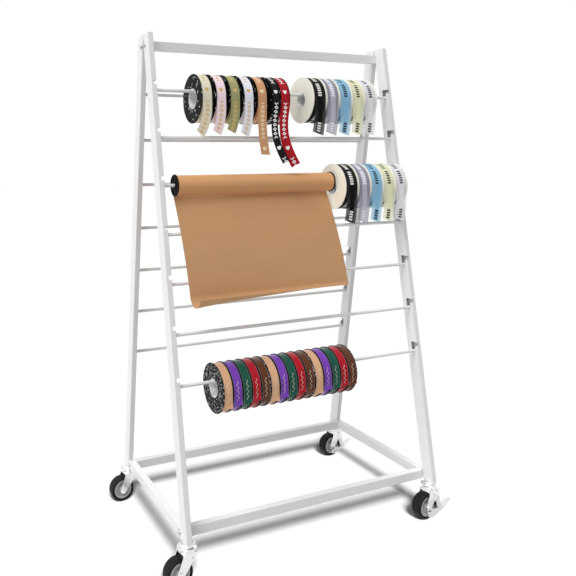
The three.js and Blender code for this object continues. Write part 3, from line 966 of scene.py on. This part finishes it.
def winding_tree():
    sizes = ("Core Radius", "Outer Radius", "Ribbon Width", "Ribbon Thickness", "Turns")
    graph = Growth("wound ribbon", dict.fromkeys(sizes, "Float"))
    core, outer, width, thickness, turns = (graph.given[size] for size in sizes)
    drum = outer - (turns + 1) * thickness
    spiral = graph.node("GeometryNodeCurveSpiral", {
        "Resolution": 96, "Rotations": turns, "Start Radius": drum + thickness * 0.5,
        "End Radius": outer - thickness * 0.5, "Height": 0.0})
    length = graph.node("GeometryNodeSplineParameter", output="Length")
    spiral = stored(graph, spiral, "along", length, "FLOAT", "POINT")
    circle = graph.node("GeometryNodeCurvePrimitiveCircle", {
        "Resolution": 64, "Radius": (drum + core) * 0.5}, mode="RADIUS")
    strip = sweep(graph, spiral, thickness * 0.92, width)
    wall = sweep(graph, circle, drum - core, width * 0.99)
    both = graph.node("GeometryNodeJoinGeometry", {"Geometry": [strip, wall]})
    across = graph.split(graph.node("GeometryNodeInputPosition"))[2]
    along = graph.node("GeometryNodeInputNamedAttribute", {"Name": "along"}, data_type="FLOAT")
    where = graph.node("ShaderNodeCombineXYZ", {"X": across, "Y": along})
    return graph.finished(stored(graph, both, "UVMap", where, "FLOAT2", "CORNER"))


winding = winding_tree()

# %% [markdown]
# ## Loose ends
# The last turn of each ribbon comes over the front of its spool and hangs down. It belongs to
# the rod's body and not to the spool's, because it keeps hanging while the spool turns. The end
# is a strip along a line: round the spool from its top, then down, with a little drift to the
# side and a twist.

# %% A hanging strip
strip_columns = 6
fall_steps = 36
lap_steps = 24
lap_angle = math.radians(96)
straight_fall = 28 * MM
straight_share = 0.6
forward_drift = 2.5 * MM


def lofted(name, rows, places):
    """Quads between rows of points, with a UV map in metres."""
    count = len(rows[0])
    faces = [(a, a + 1, a + count + 1, a + count)
             for i in range(len(rows) - 1) for a in range(i * count, (i + 1) * count - 1)]
    mesh = new_mesh(name, [point for row in rows for point in row], faces)
    layer = mesh.uv_layers.new(name="UVMap")
    for loop in mesh.loops:
        row, column = divmod(loop.vertex_index, count)
        layer.data[loop.index].uv = places[row][column]
    return mesh


def hanging_line(radius, drop, drift, sway):
    """Points from the top of the spool over its front and down, about the spool's axis."""
    points = []
    for k in range(lap_steps):
        angle = lap_angle * (1 - k / lap_steps)
        points.append(Vector((0, -radius * math.cos(angle), radius * math.sin(angle))))
    clear = min(straight_fall, drop * straight_share)
    for k in range(fall_steps + 1):
        down = drop * k / fall_steps
        free = max(0.0, (down - clear) / (drop - clear))
        side = drift * free ** 2 + sway * math.sin(math.pi * free)
        points.append(Vector((side, -radius - forward_drift * free ** 2, -down)))
    return points


def lengths_along(line):
    """How far along a line each of its points is."""
    lengths = [0.0]
    for before, after in zip(line, line[1:]):
        lengths.append(lengths[-1] + (after - before).length)
    return lengths


def strip_mesh(name, line, axis, width, twist, slant):
    """A flat strip along a line, and its length."""
    lengths = lengths_along(line)
    rows, places = [], []
    for i, point in enumerate(line):
        tangent = (line[min(i + 1, len(line) - 1)] - line[max(i - 1, 0)]).normalized()
        normal = Vector((1, 0, 0)).cross(tangent).normalized()
        across = tangent.cross(normal).normalized()
        share = max(0.0, i - lap_steps) / fall_steps
        across.rotate(Matrix.Rotation(twist * share ** 2, 3, tangent))
        if across.x < 0:
            across.negate()
        row, place = [], []
        for k in range(strip_columns + 1):
            offset = (k / strip_columns - 0.5) * width
            ahead = slant * offset / width * share ** 3
            row.append(axis + point + across * offset + tangent * ahead)
            place.append((offset, lengths[i] + ahead))
        rows.append(row)
        places.append(place)
    return lofted(name, rows, places), lengths[-1]


# %% [markdown]
# ## Spools
# A spool is a board core with a card disc at each end of its ribbon. The discs stand a
# millimetre proud of the ribbon. A pack is five such spools side by side on one body, so one
# class makes a single spool or a pack of five.

# %% Spool parts
end_inset = 1.5 * MM
wound_inset = 1.8 * MM
core_wall = 2 * MM
core_inset = 0.1 * MM
core_round = 0.3 * MM
card_round = 0.5 * MM
pressed_ring = (4 * MM, 4.8 * MM, 5.6 * MM)


def disc_mesh(bore, outer, thickness):
    """One card disc about Z, from 0 up, with a pressed ring near its rim."""
    first, deepest, last = (outer - inset for inset in pressed_ring)
    outline = [
        (bore, 0), (outer, 0), (outer, thickness), (first, thickness),
        (deepest, thickness * 0.8), (last, thickness), (bore, thickness)]
    return turned("disc", rounded(outline, card_round, steps=2), Matrix(), steps=72)


class Spools:
    """One spool or a pack of them on one body: its measures, and the pieces made from them."""

    def __init__(self, node, body, slot, rod, bore, disc, play, count):
        self.node, self.body, self.slot, self.rod = node, body, slot, rod
        self.bore, self.disc, self.outer = bore, disc, radius_of(node)
        self.low, self.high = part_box(node)
        _, self.y, self.z = centre_of(node)
        pitch = (self.high.x - self.low.x) / count
        self.width = pitch - 2 * disc - play
        self.middles, self.spots = [], []
        for i in range(count):
            left = self.low.x + i * pitch
            self.middles.append(Vector((self.low.x + (i + 0.5) * pitch, self.y, self.z)))
            self.spots.append(((left + disc, self.y, self.z), (-1, 0, 0)))
            self.spots.append(((left + pitch - disc, self.y, self.z), (1, 0, 0)))

    def add(self, name, mesh, finish):
        piece(f"{self.body}_{name}", mesh, finish, self.body, [self.node])

    def add_discs(self, name, finish, spots):
        card = disc_mesh(self.bore + core_wall, self.outer, self.disc)
        self.add(name, set_out(name, card, finish, spots), finish)

    def add_core(self):
        inner, outer = self.bore, self.bore + core_wall
        start, end = self.low.x + core_inset, self.high.x - core_inset
        outline = [(inner, start), (outer, start), (outer, end), (inner, end)]
        profile = rounded(outline, core_round, steps=2)
        core = turned("core", profile, lying_at((0, self.y, self.z)), steps=56)
        self.add("core", core, white_board)

    def add_ribbon(self, name, i, finish):
        mesh = grown(name, winding, new_mesh(name, []), {
            "Core Radius": self.bore + core_wall, "Outer Radius": self.outer - wound_inset,
            "Ribbon Width": self.width, "Ribbon Thickness": ribbon_thickness,
            "Turns": shown_turns, "Finish": finish})
        mesh.transform(lying_at(self.middles[i]))
        self.add(name, mesh, finish)

    def add_end(self, name, i, finish, narrower, drop, drift=0, sway=0, twist=0, slant=0):
        """The loose end of a ribbon, in millimetres, with its twist in degrees."""
        width = self.width - narrower * MM
        line = hanging_line(self.outer - end_inset, drop * MM, drift * MM, sway * MM)
        mesh, length = strip_mesh(
            name, line, self.middles[i], width, math.radians(twist), slant * MM)
        obj = piece(f"{self.body}_{name}", mesh, finish, self.rod, wall=ribbon_thickness)
        return f"{width / MM:.1f} x {length / MM:.0f} mm"


# %% The seven single spools
gold = (0.62, 0.42, 0.16)
pale_gold = (0.82, 0.66, 0.45)
white_ink = (0.86, 0.84, 0.82)
single_spools = {
    "cream": ((0.82, 0.76, 0.61), gold, {"drop": 101, "drift": -24, "slant": 7}),
    "pink": ((0.96, 0.77, 0.83), gold, {"drop": 97, "drift": -16, "slant": 3}),
    "olive": ((0.36, 0.355, 0.17), gold, {"drop": 93, "drift": -15, "slant": 1}),
    "lavender": ((0.87, 0.86, 0.94), gold, {"drop": 102, "drift": -16, "slant": 5}),
    "tan": ((0.66, 0.35, 0.18), pale_gold, {"drop": 157, "drift": 7, "sway": -2, "slant": 6}),
    "black": ((0.008, 0.008, 0.009), white_ink,
              {"drop": 179, "drift": 29, "sway": -11, "twist": 26}),
    "red": ((0.43, 0.012, 0.020), white_ink,
            {"drop": 188, "drift": 31, "sway": -11, "twist": 28}),
}
for name, (colour, ink, fall) in single_spools.items():
    spool = Spools(f"ribbon_spool_{name}", f"spool_{name}", f"ribbon_{name}", "rod_front_1",
                   bore=26 * MM, disc=1.5 * MM, play=0.4 * MM, count=1)
    finish = ribbed_ribbon(spool.slot, colour, ink, spool.width / 2)
    spool.add_discs("discs", marked_card, spool.spots)
    spool.add_core()
    spool.add_ribbon("ribbon", 0, finish)
    print(name, "end", spool.add_end("end", 0, finish, narrower=0.6, **fall))


# %% The two sheer packs
ink_dark = (0.012, 0.012, 0.016)
sheer_looks = {
    "black": {"edge": grey(0.010), "band": grey(0.004), "ink": white_ink,
              "end_edge": (0.028, 0.027, 0.026), "density": (0.66, 0.97)},
    "silver": {"edge": (0.38, 0.37, 0.43), "band": (0.56, 0.56, 0.67), "ink": (0.80, 0.80, 0.88)},
    "sky": {"edge": (0.42, 0.69, 0.86), "band": (0.29, 0.57, 0.80), "ink": ink_dark},
    "lemon": {"edge": (0.93, 0.93, 0.74), "band": (0.92, 0.93, 0.64), "ink": ink_dark},
    "white": {"edge": (0.92, 0.91, 0.94), "band": (0.93, 0.93, 0.96), "ink": ink_dark},
}
sheer_fall = {"drop": 102, "drift": -10, "slant": 2}
for place, rod in (("top", "rod_front_1"), ("lower", "rod_front_3")):
    pack = Spools(f"sheer_ribbon_pack_{place}", f"sheer_pack_{place}", "ribbon_sheer_mixed", rod,
                  bore=21 * MM, disc=2.5 * MM, play=0.6 * MM, count=len(sheer_looks))
    pack.add_discs("discs", ivory_card, pack.spots)
    pack.add_core()
    for i, (shade, look) in enumerate(sheer_looks.items()):
        close = sheer_ribbon(f"sheer_{shade}", look, pack.width / 2)
        thin = sheer_ribbon(f"sheer_{shade}_end", look, pack.width / 2, loose=True)
        pack.add_ribbon(shade, i, close)
        size = pack.add_end(f"{shade}_end", i, thin, narrower=2, **sheer_fall)
    print(pack.body, "ends", size)


# %% The three satin packs
satin_looks = {
    "tan": ((0.57, 0.33, 0.19), 36),
    "purple": ((0.15, 0.042, 0.36), 30),
    "green": ((0.004, 0.066, 0.042), 28),
    "crimson": ((0.34, 0.005, 0.014), 25),
    "brown": ((0.085, 0.026, 0.009), 25),
}
for place in ("left", "middle", "right"):
    pack = Spools(f"satin_ribbon_pack_{place}", f"satin_pack_{place}", "ribbon_satin_mixed",
                  "rod_front_7", bore=23 * MM, disc=2 * MM, play=0.4 * MM, count=len(satin_looks))
    # Only the outer discs of a pack carry painted glints.
    pack.add_discs("end_discs", flecked_card, [pack.spots[0], pack.spots[-1]])
    pack.add_discs("discs", black_card, pack.spots[1:-1])
    pack.add_core()
    for i, (shade, (colour, drop)) in enumerate(satin_looks.items()):
        finish = satin_ribbon(f"satin_{shade}", colour, pack.width / 2)
        pack.add_ribbon(shade, i, finish)
        size = pack.add_end(f"{shade}_end", i, finish, narrower=0.8, drop=drop, slant=3)
    print(pack.body, "last end", size)


# %% [markdown]
# ## The paper roll
# Kraft paper is brown, matt and fibrous, with faint streaks along the web. The roll's ends show
# its layers as fine rings, and the tube in its middle is closed by two black caps with a hole
# for the rod.

# %% Kraft finish and roll
roll_core = 19 * MM
roll_layers = 9
layer_step = 0.5 * MM
cap_bore = 5.2 * MM
cap_plug = 18.6 * MM
cap_flange = 3 * MM
cap_depth = 22 * MM
cap_dish = 1.2 * MM
cap_round = 0.6 * MM


def kraft(name, dark, light):
    paint = Paint(name, specular=0.3)
    fibre = paint.noise(900, detail=3, stretch=(0.25, 1, 1))
    cloud = paint.noise(26, detail=4, stretch=(0.3, 1, 1))
    speck = paint.ramp(paint.noise(1500, detail=1), 0.68, 0.74)
    body = paint.mix(cloud * 0.55 + fibre * 0.45, dark, light)
    brown = paint.mix(speck * 0.35, body, toned(dark, 0.6))
    return paint.finished(brown, 0.58 + fibre * 0.16, fibre, 0.05 * MM)


def roll_mesh(node, place):
    """A roll whose layers show at its ends, every second one a little deeper."""
    low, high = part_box(node)
    outer = radius_of(node)
    step = (outer - roll_core) / roll_layers
    start = [(roll_core + step * (i + 0.5), low.x + (layer_step if i % 2 else 0))
             for i in range(roll_layers)]
    end = [(radius, high.x - (x - low.x)) for radius, x in reversed(start)]
    profile = [
        (roll_core, low.x), *start, (outer, low.x), (outer, high.x), *end, (roll_core, high.x)]
    return turned(node, profile, place, steps=96)


def cap_mesh(node, place):
    """Both caps: a flange outside the roll and a plug in it, with a bore for the rod."""
    low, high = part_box(node)
    rim = radius_of(node)
    outline = rounded([
        (cap_bore, 0), (cap_bore + 4 * MM, 0), (cap_bore + 5.5 * MM, cap_dish),
        (rim - 6 * MM, cap_dish), (rim - 4.5 * MM, 0), (rim, 0), (rim, cap_flange),
        (cap_plug, cap_flange), (cap_plug, cap_depth), (cap_bore, cap_depth)], cap_round)
    caps = []
    for start, way in ((low.x, 1), (high.x, -1)):
        profile = [(radius, start + way * height) for radius, height in outline]
        caps.append(turned(node, profile, place, steps=64))
    return mesh_from(node, workpiece(*caps))


kraft_wound = kraft("kraft_wound", (0.59, 0.305, 0.135), (0.67, 0.355, 0.162))
kraft_face = kraft("kraft_face", (0.46, 0.250, 0.118), (0.54, 0.302, 0.147))
kraft_back = kraft("kraft_back", (0.56, 0.32, 0.158), (0.64, 0.38, 0.195))
_, roll_y, roll_z = centre_of("paper_roll")
roll = roll_mesh("paper_roll", lying_at((0, roll_y, roll_z)))
piece("kraft_roll", roll, kraft_wound, "paper_roll", ["paper_roll"])
_, cap_y, cap_z = centre_of("paper_roll_core")
caps = cap_mesh("paper_roll_core", lying_at((0, cap_y, cap_z)))
piece("kraft_roll_caps", caps, cap_plastic, "paper_roll", ["paper_roll_core"])
print("kraft roll", round(2 * radius_of("paper_roll") / MM, 1), "mm thick")

# %% [markdown]
# ## The paper sheet
# The sheet comes off the back of the roll, passes under it and slants forward over the next
# rods, because the paper keeps the set of its roll. Its end curls forward, most at the left. It
# is a loft between the line of its left edge and the line of its right one, given a small
# thickness, with the lighter back of the paper on its inner side.

# %% Paper sheet
sheet_thickness = 0.5 * MM
sheet_gap = 0.9 * MM
sheet_drop = 270 * MM
sheet_cut = 4 * MM
sheet_steep = math.radians(30.02)
sheet_gentle = math.radians(15.02)
curl_radius = 34 * MM
curl_left = math.radians(150)
curl_right = math.radians(25)
sheet_ease = 0.8
sheet_columns = 40
fall_rows = 60
curl_rows = 36


def sheet_edge(drop, curl):
    """The line of the sheet in (Y, Z) about the roll's axis, front towards -Y."""
    reach = radius_of("paper_roll") + sheet_gap
    start = Vector((reach * math.cos(sheet_steep), -reach * math.sin(sheet_steep)))
    knee = start + Vector((-math.tan(sheet_steep), -1)) * drop / 2
    foot = knee + Vector((-math.tan(sheet_gentle), -1)) * drop / 2
    points = []
    for k in range(fall_rows + 1):
        share = k / fall_rows
        points.append(start.lerp(knee, share).lerp(knee.lerp(foot, share), share))
    centre = foot + Vector((-math.cos(sheet_gentle), math.sin(sheet_gentle))) * curl_radius
    for k in range(1, curl_rows + 1):
        angle = -sheet_gentle - curl * k / curl_rows
        points.append(centre + Vector((math.cos(angle), math.sin(angle))) * curl_radius)
    return points


def sheet_mesh(name):
    """The sheet, its flat size at its longer edge, and its area."""
    low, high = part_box("paper_sheet")
    width = high.x - low.x
    left = sheet_edge(sheet_drop, curl_left)
    right = sheet_edge(sheet_drop - sheet_cut, curl_right)
    rows, places = [], []
    area = 0.0
    for k in range(sheet_columns + 1):
        share = k / sheet_columns
        line = [a.lerp(b, share ** sheet_ease) for a, b in zip(left, right)]
        length = lengths_along(line)[-1]
        area += length * width / (sheet_columns + 1)
        rows.append([(low.x + share * width, roll_y + y, roll_z + z) for y, z in line])
        places.append([(share * width, length * i / (len(line) - 1)) for i in range(len(line))])
    return lofted(name, rows, places), (width, lengths_along(left)[-1]), area


paper, paper_flat, paper_area = sheet_mesh("kraft_sheet")
kraft_sheet = piece("kraft_sheet", paper, kraft_face, "rod_front_3",
                    ["paper_sheet"], wall=sheet_thickness, back=kraft_back)
print(f"sheet {paper_flat[0] / MM:.0f} x {paper_flat[1] / MM:.0f} mm, area {paper_area:.4f} m2")

# %% [markdown]
# ## Floor and light
# The picture has a white ground with a soft dark band right below each base rail. A sun from
# high in front makes these bands: it shines on the floor alone, and only the base rails and the
# casters stop it. Light linking says which lamp reaches what. A wide high sun and a wide low
# lamp from the left light everything but the floor, the outer faces of the posts most, and a
# weaker lamp from behind keeps the sides that the picture doesn't show from going dark. The roll
# throws no shadow, because its sheet shows none in the picture. The world is white to the camera
# and to shiny steel, and gives a soft even light besides. The floor lies in so much light that
# it looks white all the same, and it bounces little of it back.

# %% Stage
floor_half = 40
ambient = 0.30
bounce_grey = 0.27
camera_white = 0.42


def seen_share(graph):
    """1 for the rays of the camera, of gloss and of glass."""
    seen, gloss, glass = (
        graph.node("ShaderNodeLightPath", output=f"Is {kind} Ray")
        for kind in ("Camera", "Glossy", "Transmission"))
    return seen.apply("MAXIMUM", gloss).apply("MAXIMUM", glass)


def floor_finish():
    paint = Paint("studio_floor", specular=0.0)
    tone = paint.mix(seen_share(paint), grey(bounce_grey), grey(camera_white))
    return paint.finished(tone, roughness=1.0)


ground = new_mesh("studio_floor", [
    (x * floor_half, y * floor_half, 0) for x, y in ((-1, -1), (1, -1), (1, 1), (-1, 1))],
    [(0, 1, 2, 3)])
ground.materials.append(floor_finish())
floor = placed("studio_floor", ground)

world = bpy.data.worlds.new("studio")
world.use_nodes = True
scene.world = world
sky = Graph(world.node_tree)
background = world.node_tree.nodes["Background"].inputs
background["Color"].default_value = (1, 1, 1, 1)
sky.feed(background["Strength"], ambient + seen_share(sky) * (1 - ambient))

# %% Lamps


def sun(name, strength, width, from_point):
    """A sun that shines from a direction, with the width of its disc in degrees."""
    lamp = bpy.data.lights.new(name, "SUN")
    lamp.energy = strength
    lamp.angle = math.radians(width)
    holder = placed(name, lamp)
    holder.rotation_euler = Vector(from_point).to_track_quat("Z", "Y").to_euler()
    return holder


def linked(name, objects, state="INCLUDE"):
    """A collection for light linking, which a lamp reaches or leaves out."""
    group = bpy.data.collections.new(name)
    for obj in objects:
        group.objects.link(obj)
    for member in group.collection_objects:
        member.light_linking.link_state = state
    return group


all_but_floor = linked("all but the floor", [floor], "EXCLUDE")
roll_pieces = [bpy.data.objects[name] for name in ("kraft_roll", "kraft_roll_caps")]
all_but_roll = linked("all but the roll", roll_pieces, "EXCLUDE")
floor_alone = linked("the floor alone", [floor])
base_pieces = [
    obj for obj in scene.objects if obj.name.startswith(("base_rail", "base_side", "caster_"))]
base_alone = linked("what shades the floor", base_pieces)
high_sun = sun("high_sun", strength=2.1, width=30, from_point=(-0.42, -0.22, 1))
left_lamp = sun("left_lamp", strength=1.75, width=80, from_point=(-1, -0.24, 0.25))
back_lamp = sun("back_lamp", strength=0.95, width=80, from_point=(1, 0.75, 0.25))
for lamp in (high_sun, left_lamp, back_lamp):
    lamp.light_linking.receiver_collection = all_but_floor
    lamp.light_linking.blocker_collection = all_but_roll
floor_sun = sun("floor_sun", strength=9.7, width=15, from_point=(-0.30, -1.0, 1))
floor_sun.light_linking.receiver_collection = floor_alone
floor_sun.light_linking.blocker_collection = base_alone
print("pieces that shade the floor", len(base_pieces))
scene.view_settings.view_transform = "Standard"
